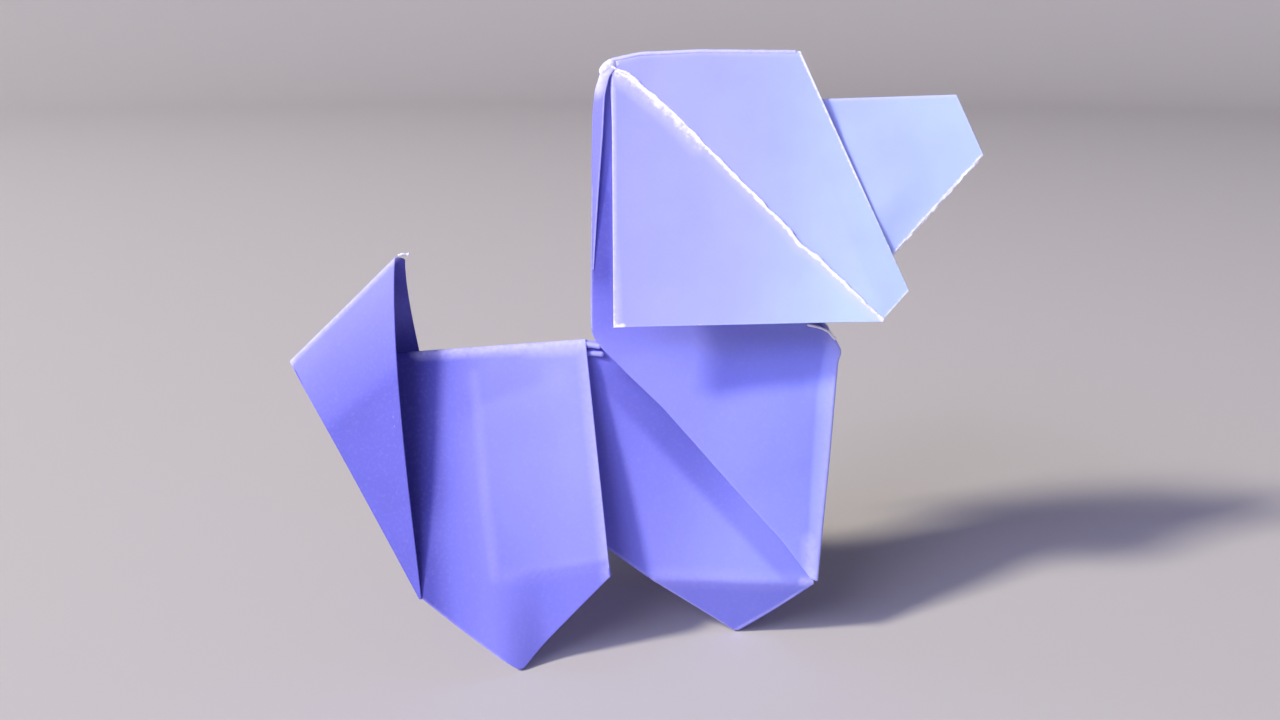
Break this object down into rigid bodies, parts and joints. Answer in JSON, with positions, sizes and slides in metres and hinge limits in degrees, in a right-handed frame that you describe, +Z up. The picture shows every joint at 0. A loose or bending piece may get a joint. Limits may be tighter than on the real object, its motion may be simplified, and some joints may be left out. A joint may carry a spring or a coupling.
{
  "type": "origami dog",
  "caption": "Standing dog folded from one sheet of lavender paper, with a raised tail, four pointed feet, hanging ears and a blunt snout.",
  "frame": {"origin": "middle of the dog's length and width, on the table it stands on", "axes": "+X the way the dog looks, +Y to its left, +Z up"},
  "size_m": [0.0993, 0.044, 0.0823],
  "materials": {
    "lavender_paper": "matt coloured paper"
  },
  "bodies": {
    "root": {"folded_sheet": "lavender_paper"}
  },
  "joints": []
}
